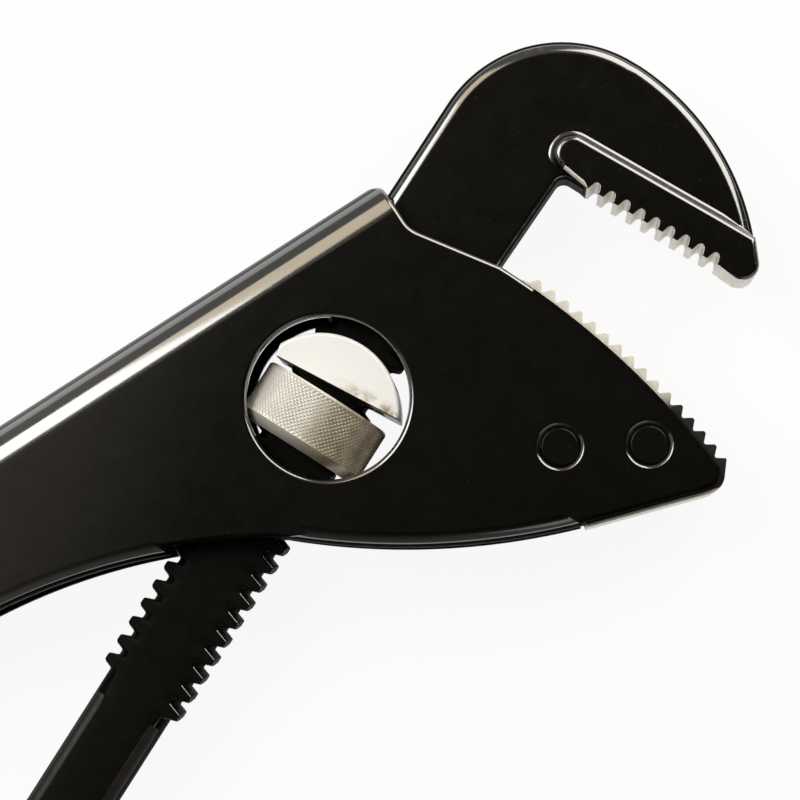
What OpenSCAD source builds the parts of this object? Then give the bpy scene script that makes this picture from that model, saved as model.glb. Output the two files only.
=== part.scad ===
// Two-handled adjustable pliers wrench with a pressed body, a screwed hook jaw and a rocking saddle.
// Millimetres. The origin is the centre of the round window, halfway between the two side plates.
// +X runs along the folded back toward the head, +Y toward the back, +Z toward the front plate.

/* [Pressed body] */
// Thickness over both side plates
body_thickness = 17; // [16:0.5:20]
// Thickness of the folded sheet
sheet = 2; // [1.6:0.1:2.2]
// Height of the folded back above the pivot
back_height = 25.2; // [24:0.1:28]
// Outer radius of the bends beside the back
fold_radius = 6; // [4:0.5:7]
// Distance from the pivot to the end of the upper handle
handle_reach = 143; // [120:1:165]
// Height of the handle's lower edge above the pivot
handle_floor = 0.7; // [-1:0.1:2]
// Rounding of the handle's end corners
handle_corner = 9; // [5:0.5:10]
// Distance behind the pivot where the throat curve begins
throat_start = 74; // [68:0.5:80]
// Radius of the hollow throat curve below the handle
throat_radius = 102.2; // [96:0.1:108]
// Angle swept by the throat curve
throat_sweep = 37.7; // [36:0.1:39]
// Radius of the full belly curve below the window
belly_radius = 118.7; // [112:0.1:126]
// Angle swept by the belly curve
belly_sweep = 18.85; // [17:0.05:19]
// Width of the slot left between the turned-in lips
lip_slot = 8.6; // [8.2:0.1:9.4]
// Outer radius of the bend at the lips
lip_bend = 2.4; // [2.3:0.1:2.8]
// Depth of the plates' edge behind the lips where the bar passes between them
notch_depth = 1.2; // [0.8:0.1:2]

/* [Window] */
// Radius of the straight wall of the round windows
window_radius = 12.9; // [12.7:0.05:13.2]
// Radius rolled on the outer rim of the windows
window_roll = 0.6; // [0.4:0.1:0.9]

/* [Jaw edge and toe] */
// Radius of the plates' curved edge at the jaw
jaw_edge_radius = 131; // [120:1:140]
// Distance from the pivot to the furthest point of that curve, along X
jaw_reach = 46.2; // [45.5:0.1:47]
// Distance of that point below the pivot
jaw_drop = 52; // [51:0.5:53]
// Rounding of the toe
toe_radius = 2.4; // [1.8:0.1:3]
// Slope of the toe's lower edge in degrees
toe_slope = 17.1; // [16:0.1:18]
// Height of the jaw teeth above the plates' edge
jaw_stand = 1.8; // [1.5:0.1:2.2]
// Depth of the teeth on the fixed jaw
tooth_depth = 1.2; // [0.9:0.05:1.4]
// Spacing of the teeth on both jaws
tooth_pitch = 2.73; // [2.65:0.01:2.8]
// Reach of the toothed block past the plates at the toe
toe_overhang = 0.8; // [0.3:0.1:1.2]

/* [Rivets] */
// Radius of the rivets
rivet_radius = 3.05; // [2.5:0.05:3.3]
// Radius of the dished seat round each rivet
rivet_seat = 3.65; // [3.5:0.05:4]
// Depth of the front rivet behind the plates' edge
rivet_front_depth = 6.3; // [6:0.1:7]
// Depth of the rear rivet behind the plates' edge
rivet_rear_depth = 16.7; // [16:0.1:17.5]
// Play between a rivet and its hole
rivet_play = 0.05; // [0.02:0.01:0.1]

/* [Hook jaw] */
// Angle between the lever and the folded back
lever_angle = 25; // [24.5:0.1:25.5]
// Offset of the lever's axis toward the back
lever_offset = 0.6; // [0.4:0.05:0.7]
// Distance from the lever's axis to the back edge of the hook
hook_back = 9.2; // [8.9:0.1:9.6]
// Distance from the lever's axis to the throat edge of the hook's shank
hook_front = 11.85; // [11.2:0.05:12]
// Widening of the shank on the throat side, from the plates to the teeth
neck_flare = 0.75; // [0:0.05:0.9]
// Rounding of the throat's inner corner
throat_fillet = 1.6; // [1:0.1:2]
// Distance from the hook's tooth crests to the start of the crown's curve
crown_start = 0; // [-0.8:0.1:0.7]
// Radius of the crown behind its peak
crown_back = 21.8; // [21:0.1:22.5]
// Radius of the crown toward the nose
crown_front = 42; // [41:0.1:43]
// Thickness of the hook
web_thickness = 8; // [7.4:0.1:8.4]
// Thickness of the toothed rib on the hook
rib_thickness = 12; // [10:0.5:13]
// Distance from the pivot to the hook's tooth crests
hook_teeth_height = 50.3; // [50.1:0.05:50.8]
// Depth of the hook's teeth
hook_tooth_depth = 1.6; // [1.2:0.05:1.7]
// Rounding of the hook's nose
nose_radius = 2.6; // [2.2:0.1:2.8]

/* [Thread and lower handle] */
// Thickness of the threaded bar and lower handle
bar_thickness = 7; // [6.4:0.1:7.2]
// Radius over the thread's crests
thread_crest = 8.6; // [8.3:0.05:8.7]
// Radius at the thread's roots, also half the lower handle's width
thread_root = 6.3; // [6:0.05:6.5]
// Pitch of the thread
thread_pitch = 3.45; // [3.3:0.05:3.8]
// Distance from the pivot to the lower end of the thread
thread_end = 55; // [50:0.5:60]
// Distance from the pivot to the end of the lower handle
lever_reach = 148; // [120:1:165]

/* [Nut and saddle] */
// Radius of the knurled nut
nut_radius = 11; // [10.9:0.05:11.1]
// Height of the nut along the bar
nut_height = 9.8; // [8.5:0.1:9.9]
// Chamfer at the nut's lower end, which lets it into the window
nut_chamfer = 1.5; // [1.4:0.05:1.6]
// Broken edge at the nut's upper end
nut_edge = 0.4; // [0.3:0.05:0.6]
// Distance from the pivot to the nut's upper end
nut_top = 0.4; // [0.3:0.1:0.8]
// Distance from the pivot to the middle of the saddle's flat
saddle_flat = 2.1; // [2:0.1:2.4]
// How far the loose saddle lies back from its seat in the window
saddle_slip = 2.5; // [2:0.1:2.7]
// Angle at which the loose saddle leans on the nut
saddle_lean = 4.5; // [0:0.5:5]
// Thickness of the saddle
saddle_thickness = 14; // [13.6:0.1:15]
// Play round the saddle, the nut and the bar
play = 0.3; // [0.2:0.05:0.35]
// Axial play on the flanks of the thread
thread_play = 0.25; // [0.2:0.01:0.3]

/* [Hidden] */
$fn = 96;

face_z = body_thickness / 2;
inner_z = face_z - sheet;
bend_y = back_height - fold_radius;
// the folded back ends where its inner corner almost meets the hook's back edge, which is the open stop
stop_gap = 0.5;
fold_inside = (back_height - sheet) * cos(lever_angle);
fold_end = (fold_inside - hook_back - lever_offset - stop_gap) / sin(lever_angle);
fold_corner = 2;
// the throat and belly curves share a tangent, so the second centre follows from the first
join_angle = 90 - throat_sweep;
throat_centre = [-throat_start, handle_floor - throat_radius];
belly_centre = throat_centre + (throat_radius + belly_radius) * [cos(join_angle), sin(join_angle)];
belly_end = 180 + join_angle + belly_sweep;
// the lips are cut away for the bar between this angle on the throat curve and the start of the belly lip
notch_from = 67.2;
belly_lead = 4.1;
belly_from = 180 + join_angle - belly_lead;
// the belly's lip is pressed in a little from that shared tangent
belly_inset = 0.45;
belly_edge = belly_radius - belly_inset;
belly_tip = belly_centre + (belly_edge - notch_depth) * [cos(belly_from), sin(belly_from)];
notch_to = atan2(belly_tip.y - throat_centre.y, belly_tip.x - throat_centre.x);
// overlap of the notch with the ends of the lips, in degrees
notch_lap = 0.1;
// depth of the plates' edge behind the lips, and how far the lips reach up to meet the plates
plate_inset = lip_bend + 0.5;
lip_seam = 0.1;
lip_sink = 0.02;
lip_reach = lip_bend + 1.2;
// the jaw edge, and the toe curve that touches it from inside
jaw_centre = [jaw_reach - jaw_edge_radius, -jaw_drop];
jaw_from = 24.7;
jaw_to = 4.4;
toe_centre = jaw_centre + (jaw_edge_radius - toe_radius) * [cos(jaw_to), sin(jaw_to)];
toe_normal = -90 - toe_slope;
toe_start = belly_centre + (belly_radius - 0.8) * [cos(belly_end), sin(belly_end)];
// the plates' toe edge runs on a little way into the end of the belly's lip
toe_stop = belly_centre + (belly_radius - 0.8) * [cos(belly_end - notch_lap), sin(belly_end - notch_lap)];
hollow = 5;
hollow_sweep = 34;
rivet_front_at = jaw_centre + (jaw_edge_radius - rivet_front_depth) * [cos(8.5), sin(8.5)];
rivet_rear_at = jaw_centre + (jaw_edge_radius - rivet_rear_depth) * [cos(13), sin(13)];
rivet_sunk = 0.15;
seat_depth = 0.5;
// whole teeth on the fixed jaw, and the angle of the half tooth that ends it at the toe
jaw_teeth = 15;
jaw_teeth_to = 4.3;
// hook outline, along the lever (x) and across it toward the back (y)
crown_from = hook_teeth_height + crown_start;
crown_back_centre = [crown_from, hook_back - crown_back];
crown_front_centre = [crown_from + crown_back - crown_front, hook_back - crown_back];
// the crown runs on straight from this angle to the nose, and the rib's upper edge meets it just before
nose_from = -50;
nose_run = 3;
rib_join = -48.7;
nose_along = [sin(nose_from), -cos(nose_from)];
nose_out = [cos(nose_from), sin(nose_from)];
nose_start = crown_front_centre + crown_front * nose_out;
nose_centre = nose_start + nose_run * nose_along - nose_radius * nose_out;
rib_end_radius = 2.9;
rib_end = [crown_from + 3.55, -hook_front - 0.6];
hook_teeth = 9;
hook_teeth_from = 17.1;
hook_teeth_slope = 1.3;
shoulder = 27;
// thread form
flank = 25;
crest_flat = 0.6;
thread_turn = atan(thread_pitch / (2 * PI * thread_crest));
// the teeth are straight across the bar, so their feet start inside the bar's rounded edges
bar_half = bar_thickness / 2;
tooth_foot = sqrt(thread_root * thread_root - bar_half * bar_half) - 0.3;
// the nut's ridge stays clear of the teeth where they are widest, at the flats of the bar
ridge_crest = norm([thread_root, bar_half]);
nut_bore = thread_crest + play;
ridge_base = nut_bore + 0.7;
nut_low = nut_top - nut_height;
// saddle
saddle_radius = window_radius - play;
saddle_chamfer = 0.4;
// the saddle's end toward the back is relieved from this corner of its flat
relief_at = 10.6;
relief_angle = 17;

function arc(c, r, a0, a1, steps) =
  [for (i = [0 : steps]) c + r * [cos(a0 + (a1 - a0) * i / steps), sin(a0 + (a1 - a0) * i / steps)]];

function tooth_width(r) = crest_flat + 2 * (thread_crest - r) * tan(flank);

// PRESSED BODY

module plate_outline() {
  polygon(concat(
    [[-handle_reach, bend_y], [fold_end, bend_y]],
    arc([fold_end + hollow, bend_y - 2], hollow, 180, 180 + hollow_sweep, 8),
    arc(jaw_centre, jaw_edge_radius, jaw_from, jaw_to, 20),
    arc(toe_centre, toe_radius, jaw_to, toe_normal, 10),
    [toe_stop],
    arc(belly_centre, belly_edge - plate_inset, belly_end - 2 * notch_lap, belly_from + notch_lap, 12),
    arc(throat_centre, throat_radius + notch_depth, notch_to - notch_lap, notch_from + notch_lap, 8),
    arc(throat_centre, throat_radius + plate_inset, notch_from + notch_lap, 90, 16),
    [[-handle_reach, handle_floor + plate_inset]]
  ));
}

module back_section() {
  flat = face_z - fold_radius;
  difference() {
    union() {
      translate([bend_y, -flat]) square([fold_radius, 2 * flat]);
      for (s = [-1, 1]) {
        translate([bend_y, s * flat]) circle(fold_radius);
        translate([bend_y - 1, s * (face_z - sheet / 2) - sheet / 2]) square([1, sheet]);
      }
    }
    translate([bend_y - 1, -flat]) square([fold_radius - sheet + 1, 2 * flat]);
    for (s = [-1, 1]) {
      translate([bend_y, s * flat]) circle(fold_radius - sheet);
    }
    translate([bend_y - 2 * fold_radius, -inner_z]) square([2 * fold_radius, 2 * inner_z]);
    translate([bend_y - 2 * fold_radius - 1, -face_z - 1]) square([2 * fold_radius, body_thickness + 2]);
  }
}

// section of one lip and the bend beside it: x is the depth from the lip's outer face, y is the height
module lip_section() {
  top = face_z - lip_sink;
  difference() {
    translate([0, lip_slot / 2]) square([lip_reach, top - lip_slot / 2]);
    translate([sheet, 0]) square([lip_reach, inner_z + lip_sink]);
    difference() {
      translate([-1, top - lip_bend]) square(lip_bend + 1);
      translate([lip_bend, top - lip_bend]) circle(lip_bend);
    }
  }
}

module throat_lip(a0, a1) {
  translate([throat_centre.x, throat_centre.y, 0]) rotate([0, 0, a0]) rotate_extrude(angle = a1 - a0)
    translate([throat_radius, 0]) lip_section();
}

module belly_lip() {
  translate([belly_centre.x, belly_centre.y, 0]) rotate([0, 0, belly_from])
    rotate_extrude(angle = belly_sweep + belly_lead) translate([belly_edge, 0]) mirror([1, 0]) lip_section();
}

// straight lip under the handle, and the short weld that carries it into the throat's lip
module handle_lip() {
  translate([-handle_reach, handle_floor, 0]) rotate([90, 0, 90])
    linear_extrude(handle_reach - throat_start - lip_seam) lip_section();
  translate([-throat_start - 6 * lip_seam, handle_floor + lip_seam / 3, -lip_seam / 3]) rotate([90, 0, 90])
    linear_extrude(12 * lip_seam) lip_section();
}

module side_plate() {
  translate([0, 0, inner_z]) linear_extrude(sheet) plate_outline();
  handle_lip();
  throat_lip(notch_from, 90);
  belly_lip();
}

// prism that leaves a corner rounded: the corner points along sx and sy
module corner_cut(at, r, sx, sy) {
  translate([at.x, at.y, -face_z - 1]) linear_extrude(body_thickness + 2) difference() {
    translate([sx > 0 ? -r : -1, sy > 0 ? -r : -1]) square(r + 1);
    translate([-sx * r, -sy * r]) circle(r);
  }
}

module window_roll_cut() {
  rotate_extrude() difference() {
    translate([0, face_z - window_roll]) square([window_radius + window_roll, window_roll + 1]);
    translate([window_radius + window_roll, face_z - window_roll]) circle(window_roll);
  }
}

module rivet_hole(at) {
  translate([at.x, at.y, -face_z - 1]) cylinder(r = rivet_radius + rivet_play, h = body_thickness + 2);
  for (s = [0, 1]) mirror([0, 0, s])
    translate([at.x, at.y, face_z - seat_depth])
      cylinder(r1 = rivet_radius + rivet_play, r2 = rivet_seat, h = seat_depth);
}

module pressed_body() {
  color([0.09, 0.085, 0.07]) difference() {
    union() {
      side_plate();
      mirror([0, 0, 1]) side_plate();
      translate([-handle_reach, 0, 0]) rotate([90, 0, 90]) linear_extrude(handle_reach + fold_end)
        back_section();
    }
    corner_cut([-handle_reach, back_height], handle_corner, -1, 1);
    corner_cut([-handle_reach, handle_floor], handle_corner, -1, -1);
    corner_cut([fold_end, back_height], fold_corner, 1, 1);
    translate([0, 0, -face_z - 1]) cylinder(r = window_radius, h = body_thickness + 2);
    window_roll_cut();
    mirror([0, 0, 1]) window_roll_cut();
    rivet_hole(rivet_front_at);
    rivet_hole(rivet_rear_at);
  }
}

// FIXED JAW

function jaw_point(r, a) = jaw_centre + r * [cos(a), sin(a)];

module fixed_jaw_outline() {
  crest = jaw_edge_radius + jaw_stand;
  step = tooth_pitch / crest * 180 / PI;
  from = jaw_teeth_to + (jaw_teeth + 0.5) * step;
  along = [cos(-toe_slope), sin(-toe_slope)];
  below = [cos(toe_normal), sin(toe_normal)];
  corner = toe_start + 0.6 * along + toe_overhang * below;
  polygon(concat(
    [jaw_point(jaw_edge_radius - 4, from + 1)],
    [jaw_point(jaw_edge_radius + 0.3, from + 0.6)],
    [for (i = [0 : jaw_teeth - 1], p = [[0, 0.06], [1, 0.42], [1, 0.58], [0, 0.94]])
      jaw_point(crest - (1 - p[0]) * tooth_depth, from - (i + p[1]) * step)],
    [jaw_point(crest - tooth_depth, from - (jaw_teeth + 0.06) * step)],
    [jaw_point(crest, from - (jaw_teeth + 0.42) * step), jaw_point(crest, jaw_teeth_to)],
    arc(toe_centre, toe_radius + toe_overhang, -35, toe_normal, 8),
    [corner, corner - 9 * below],
    [rivet_rear_at + [-5.5, -2], rivet_rear_at + [-5, 4]],
    [jaw_point(jaw_edge_radius - 8, from)]
  ));
}

module fixed_jaw() {
  color([0.55, 0.5, 0.4]) difference() {
    translate([0, 0, -inner_z]) linear_extrude(2 * inner_z) fixed_jaw_outline();
    for (at = [rivet_front_at, rivet_rear_at])
      translate([at.x, at.y, -face_z]) cylinder(r = rivet_radius + rivet_play, h = body_thickness);
  }
}

// RIVETS

module rivet(at) {
  half = face_z - rivet_sunk;
  edge = 0.25;
  translate([at.x, at.y, 0]) rotate_extrude()
    polygon([[0, -half], [rivet_radius - edge, -half], [rivet_radius, -half + edge],
             [rivet_radius, half - edge], [rivet_radius - edge, half], [0, half]]);
}

module jaw_rivet_front() {
  color([0.12, 0.11, 0.09]) rivet(rivet_front_at);
}

module jaw_rivet_rear() {
  color([0.12, 0.11, 0.09]) rivet(rivet_rear_at);
}

// HOOK JAW, THREADED BAR AND LOWER HANDLE

module on_lever() {
  rotate([0, 0, lever_angle]) translate([0, lever_offset, 0]) children();
}

// nose end of the hook, shared by its web and its rib
function nose_curve() = arc(nose_centre, nose_radius, nose_from, -165, 9);

module hook_outline() {
  inner = hook_teeth_height + hook_tooth_depth + 0.6;
  land = hook_teeth_height - 0.15;
  polygon(concat(
    [[shoulder, -hook_front], [shoulder, hook_back]],
    arc(crown_back_centre, crown_back, 90, 0, 24),
    arc(crown_front_centre, crown_front, -2, nose_from, 20),
    nose_curve(),
    [[inner, nose_centre.y], [inner, -hook_teeth_from], [land, 0.3 - hook_teeth_from]],
    arc([land - throat_fillet, -hook_front - neck_flare - throat_fillet], throat_fillet, 0, 90, 6)
  ));
}

module rib_outline() {
  rise = tan(hook_teeth_slope);
  polygon(concat(
    arc(rib_end, rib_end_radius, 180, 0, 14),
    [crown_front_centre + crown_front * [cos(rib_join), sin(rib_join)], nose_start],
    nose_curve(),
    [for (i = [hook_teeth - 1 : -1 : 0], p = [[0, 0.92], [1, 0.56], [1, 0.44], [0, 0.08]])
      let (s = (i + p[1]) * tooth_pitch)
      [hook_teeth_height + s * rise + p[0] * hook_tooth_depth, -hook_teeth_from - s]]
  ));
}

// one thread tooth on a narrow edge of the bar: s is -1 for the edge away from the back
module thread_tooth(at, s) {
  wide = tooth_width(thread_root) / 2;
  thin = crest_flat / 2;
  above = thread_crest + crest_flat;
  lean = s < 0 ? thread_turn : -thread_turn;
  translate([at, 0, 0]) rotate([0, -lean, 0]) translate([0, 0, -bar_thickness])
    linear_extrude(2 * bar_thickness)
      polygon([[-wide, s * tooth_foot], [-wide, s * thread_root],
               [-thin, s * thread_crest], [-thin, s * above],
               [thin, s * above], [thin, s * thread_crest],
               [wide, s * thread_root], [wide, s * tooth_foot]]);
}

module bar_slab(extra) {
  translate([-lever_reach, -20, -bar_thickness / 2])
    cube([lever_reach + shoulder + extra, 40, bar_thickness]);
}

module lower_handle() {
  end_radius = thread_root + 1.2;
  intersection() {
    translate([-lever_reach, 0, 0]) rotate([0, 90, 0])
      cylinder(r = thread_root, h = lever_reach + shoulder + 2);
    bar_slab(2);
    translate([0, 0, -bar_thickness]) linear_extrude(2 * bar_thickness) union() {
      translate([end_radius - lever_reach, 0]) circle(end_radius);
      translate([end_radius - lever_reach, -end_radius]) square([lever_reach + shoulder, 2 * end_radius]);
    }
  }
}

module thread_teeth() {
  first = -floor((thread_end - 1.5) / thread_pitch);
  last = floor((shoulder - 1.6) / thread_pitch);
  intersection() {
    union() {
      for (k = [first : last]) {
        thread_tooth(k * thread_pitch, -1);
        thread_tooth((k - 0.5) * thread_pitch, 1);
      }
    }
    translate([-thread_end - 5, 0, 0]) rotate([0, 90, 0])
      cylinder(r = thread_crest, h = thread_end + shoulder + 5);
    bar_slab(0);
  }
}

module hook_jaw() {
  color([0.1, 0.095, 0.08]) on_lever() {
    translate([0, 0, -web_thickness / 2]) linear_extrude(web_thickness) hook_outline();
    translate([0, 0, -rib_thickness / 2]) linear_extrude(rib_thickness) rib_outline();
    lower_handle();
    thread_teeth();
  }
}

// ADJUSTING NUT

// point of the inner thread ridge at an angle, a radius and a distance along the nut
function ridge_point(a, r, x) = [x + thread_pitch * a / 360, -r * cos(a), -r * sin(a)];

module thread_ridge() {
  bore = (thread_pitch - tooth_width(sqrt(nut_bore * nut_bore - bar_half * bar_half))) / 2 - thread_play;
  tip = max(0.1, (thread_pitch - tooth_width(thread_root)) / 2 - thread_play);
  base = tip + (bore - tip) * (ridge_base - ridge_crest) / (nut_bore - ridge_crest);
  middle = -0.5 * thread_pitch;
  first = (nut_low + base + 0.4 - middle) / thread_pitch * 360;
  last = (nut_top - base - 0.4 - middle) / thread_pitch * 360;
  steps = ceil((last - first) / 8);
  rings = [for (i = [0 : steps]) let (a = first + (last - first) * i / steps)
    [ridge_point(a, ridge_base, middle - base), ridge_point(a, ridge_crest, middle - tip),
     ridge_point(a, ridge_crest, middle + tip), ridge_point(a, ridge_base, middle + base)]];
  points = [for (ring = rings, p = ring) p];
  sides = [for (i = [0 : steps - 1], j = [0 : 3])
    let (a = 4 * i + j, b = 4 * i + (j + 1) % 4)
    each [[a, a + 4, b], [b, a + 4, b + 4]]];
  polyhedron(points, concat([[0, 1, 2, 3]], sides, [[for (j = [3 : -1 : 0]) 4 * steps + j]]));
}

module adjusting_nut() {
  color([0.78, 0.76, 0.7]) on_lever() {
    translate([nut_low, 0, 0]) rotate([0, 90, 0]) rotate_extrude()
      polygon([[nut_bore, 0], [nut_radius - nut_chamfer, 0], [nut_radius, nut_chamfer],
               [nut_radius, nut_height - nut_edge], [nut_radius - nut_edge, nut_height],
               [nut_bore, nut_height]]);
    thread_ridge();
  }
}

// ROCKER SADDLE

module rocker_saddle() {
  half = saddle_thickness / 2;
  c = saddle_chamfer;
  slot = thread_crest + play;
  span = 2 * saddle_radius;
  color([0.85, 0.83, 0.78]) rotate([0, 0, lever_angle]) difference() {
    translate([-saddle_slip, 0, 0]) rotate_extrude()
      polygon([[0, -half], [saddle_radius - c, -half], [saddle_radius, -half + c],
               [saddle_radius, half - c], [saddle_radius - c, half], [0, half]]);
    translate([saddle_flat, 0, 0]) rotate([0, 0, saddle_lean]) {
      translate([-span, -span, -span]) cube([span, 2 * span, 2 * span]);
      translate([0, relief_at, 0]) rotate([0, 0, relief_angle - saddle_lean]) translate([-span, 0, -span])
        cube([2 * span, span, 2 * span]);
    }
    translate([-span, lever_offset - slot, -bar_half - play])
      cube([2 * span, 2 * slot, bar_thickness + 2 * play]);
  }
}

pressed_body();
fixed_jaw();
jaw_rivet_front();
jaw_rivet_rear();
hook_jaw();
adjusting_nut();
rocker_saddle();
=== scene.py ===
"""Looks of a two-handled adjustable pliers wrench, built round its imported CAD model.

Shapes are written in millimetres in the CAD frame: the origin is the centre of the round window, +X runs
along the folded back toward the head, +Y toward the back and +Z out of the front plate.
"""
import math

import bmesh
import bpy
from mathutils import Matrix, Quaternion, Vector
from mathutils.geometry import tessellate_polygon


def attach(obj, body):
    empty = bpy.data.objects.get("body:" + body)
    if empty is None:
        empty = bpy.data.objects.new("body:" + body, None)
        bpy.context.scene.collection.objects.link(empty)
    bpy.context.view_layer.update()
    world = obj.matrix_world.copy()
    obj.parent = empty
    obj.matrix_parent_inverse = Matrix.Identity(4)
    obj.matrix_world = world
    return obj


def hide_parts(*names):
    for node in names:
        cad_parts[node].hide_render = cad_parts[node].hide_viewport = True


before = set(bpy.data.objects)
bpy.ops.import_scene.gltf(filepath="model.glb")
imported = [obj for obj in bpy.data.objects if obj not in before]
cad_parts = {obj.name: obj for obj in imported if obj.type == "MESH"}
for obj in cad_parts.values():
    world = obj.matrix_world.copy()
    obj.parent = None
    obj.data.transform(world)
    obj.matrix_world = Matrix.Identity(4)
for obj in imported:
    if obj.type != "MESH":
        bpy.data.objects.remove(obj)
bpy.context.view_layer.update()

MM = 0.001

# Places of the finishes in a painted piece's list of materials
GLOSS, DULL, FACE, RUBBED, STEEL = range(5)


# Plane geometry

# Least share of a mitre's normal, so that a sharp corner is not pushed far out
MITRE_LIMIT = 0.6


def polar(centre, radius, angle):
    a = math.radians(angle)
    return (centre[0] + radius * math.cos(a), centre[1] + radius * math.sin(a))


def arc(centre, radius, start, end, steps):
    return [polar(centre, radius, start + (end - start) * i / steps) for i in range(steps + 1)]


def line(a, b, steps):
    return [(a[0] + (b[0] - a[0]) * i / steps, a[1] + (b[1] - a[1]) * i / steps) for i in range(steps + 1)]


def outward(points, i, side):
    """Mitred normal of a closed outline at point i, on the left (side 1) or right (side -1) of its run."""
    ax, ay = points[i - 1]
    bx, by = points[i]
    cx, cy = points[(i + 1) % len(points)]
    u = Vector((bx - ax, by - ay)).normalized()
    v = Vector((cx - bx, cy - by)).normalized()
    normal = Vector((-u.y - v.y, u.x + v.x)) * side
    if normal.length < 1e-6:
        normal = Vector((-u.y, u.x)) * side
    normal.normalize()
    half = max(MITRE_LIMIT, normal.dot(Vector((-u.y, u.x)) * side))
    return normal / half


# Mesh building

def finish_mesh(name, bm, body, materials, sharp=38.0, place=None):
    """Turns a bmesh in millimetres into a smooth-shaded piece that rides on a body."""
    bmesh.ops.remove_doubles(bm, verts=bm.verts, dist=1e-4)
    bmesh.ops.recalc_face_normals(bm, faces=bm.faces)
    limit = math.radians(sharp)
    for face in bm.faces:
        face.smooth = True
    for edge in bm.edges:
        if len(edge.link_faces) == 2:
            edge.smooth = edge.calc_face_angle(0.0) < limit
    matrix = Matrix.Scale(MM, 4) @ (place or Matrix.Identity(4))
    bmesh.ops.transform(bm, matrix=matrix, verts=bm.verts)
    mesh = bpy.data.meshes.new(name)
    bm.to_mesh(mesh)
    bm.free()
    obj = bpy.data.objects.new(name, mesh)
    bpy.context.scene.collection.objects.link(obj)
    for material in materials:
        mesh.materials.append(material)
    weighted = obj.modifiers.new("normals", "WEIGHTED_NORMAL")
    weighted.keep_sharp = True
    weighted.weight = 90
    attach(obj, body)
    return obj


def cap(bm, loops, material):
    """Fills a flat outline with holes. loops are lists of vertices, the outline first."""
    verts = [v for loop in loops for v in loop]
    for tri in tessellate_polygon([[v.co for v in loop] for loop in loops]):
        if len({*tri}) == 3:
            try:
                face = bm.faces.new([verts[i] for i in tri])
            except ValueError:
                continue
            face.material_index = material


def strip(bm, rings, closed=True, material=0):
    """Joins neighbouring rings of vertices with quads. closed joins the last ring to the first."""
    count = len(rings)
    for i in range(count if closed else count - 1):
        a, b = rings[i], rings[(i + 1) % count]
        for k in range(len(a) - 1):
            corners = [a[k], b[k], b[k + 1], a[k + 1]]
            face = bm.faces.new(corners)
            face.material_index = material if isinstance(material, int) else material(i, k)


def quarter(steps):
    return [math.radians(90.0 * i / steps) for i in range(steps + 1)]


def half_round(radius, high):
    """Rounded rim of a prism, from its face to its wall: (distance outward, height)."""
    return [(radius * (math.sin(a) - 1), high - radius + radius * math.cos(a)) for a in quarter(6)]


def half_edge(radius, high):
    """Rounded rim and the upper half of a straight wall below it."""
    wall = high - radius
    return half_round(radius, high) + [(0.0, wall * (1 - k / 7)) for k in range(1, 7)]


def half_foot(inset, out, spread, high, low):
    """Rim that rounds over and sweeps out to a hollow foot on a lower face."""
    middle = (high + low) / 2
    top, fall = high - middle, middle - low
    over = [((inset + out) * math.sin(a) - inset, middle + top * math.cos(a)) for a in quarter(6)]
    foot = [(out + spread * (1 - math.cos(a)), middle - fall * math.sin(a)) for a in quarter(6)]
    return over + foot[1:]


# Steps of a rounded rim, from the face, where its paint rubs thin
RIM_CREST = (2, 3, 4)
# Distance by which a section with a foot is drawn back at its middle
FOOT_BACK = 1.2


def prism(bm, outline, halves, finish):
    """Prism that is the same above and below its middle.

    halves gives the upper half's section at each point, and finish(i, depth) gives the material at
    point i, a number of steps down from the nearer face.
    """
    rim = bm.verts.layers.float["rim"]
    rings = []
    for i, (x, y) in enumerate(outline):
        normal = outward(outline, i, -1)
        upper = halves[i]
        inner = min(0.0, upper[-1][0] - FOOT_BACK) if upper[-1][0] > 0 else 0.0
        section = upper + [(inner, 0.0)] + [(out, -z) for out, z in reversed(upper)]
        ring = []
        for k, (out, z) in enumerate(section):
            vert = bm.verts.new((x + normal.x * out, y + normal.y * out, z))
            vert[rim] = 1.0 if min(k, len(section) - 1 - k) in RIM_CREST else 0.0
            ring.append(vert)
        rings.append(ring)
    count = len(rings[0]) - 1

    strip(bm, rings, True, lambda i, k: finish(i, min(k, count - 1 - k)))
    cap(bm, [[ring[0] for ring in rings]], FACE)
    cap(bm, [[ring[-1] for ring in rings]], FACE)


# Driving sizes, the same as the solids have

# Sheet and fold
FACE_Z = 8.5
SHEET = 2.0
INNER_Z = FACE_Z - SHEET
BACK_Y = 25.2
FOLD_R = 6.0
BEND_Y = BACK_Y - FOLD_R
FOLD_CORNER = 2.0

# Place of the hook's bar, the widths of its shank and its gap to the fold's end
LEVER_ANGLE = 25.0
LEVER_OFFSET = 0.6
HOOK_BACK = 9.2
HOOK_FRONT = 11.85
STOP_GAP = 0.5
LEVER_TURN = math.radians(LEVER_ANGLE)
FOLD_INSIDE = (BACK_Y - SHEET) * math.cos(LEVER_TURN)
FOLD_X = (FOLD_INSIDE - HOOK_BACK - LEVER_OFFSET - STOP_GAP) / math.sin(LEVER_TURN)

# Upper handle
HANDLE_X = -143.0
FLOOR_Y = 0.7
CORNER_R = 9.0

# Throat and belly, with their lips and the notches where a lip stops
THROAT_X = -74.0
THROAT_R = 102.2
THROAT_SWEEP = 37.7
BELLY_R = 118.7
BELLY_INSET = 0.45
BELLY_SWEEP = 18.85
BELLY_LEAD = 4.1
BELLY_EDGE = BELLY_R - BELLY_INSET
JOIN = 90 - THROAT_SWEEP
BELLY_END = 180 + JOIN + BELLY_SWEEP
BELLY_START = 180 + JOIN - BELLY_LEAD
THROAT_C = (THROAT_X, FLOOR_Y - THROAT_R)
BELLY_C = polar(THROAT_C, THROAT_R + BELLY_R, JOIN)
LIP_SLOT = 4.3
LIP_R = 2.4
LIP_STOP = 7.0
NOTCH = 67.2
NOTCH_W = 1.2

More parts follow.
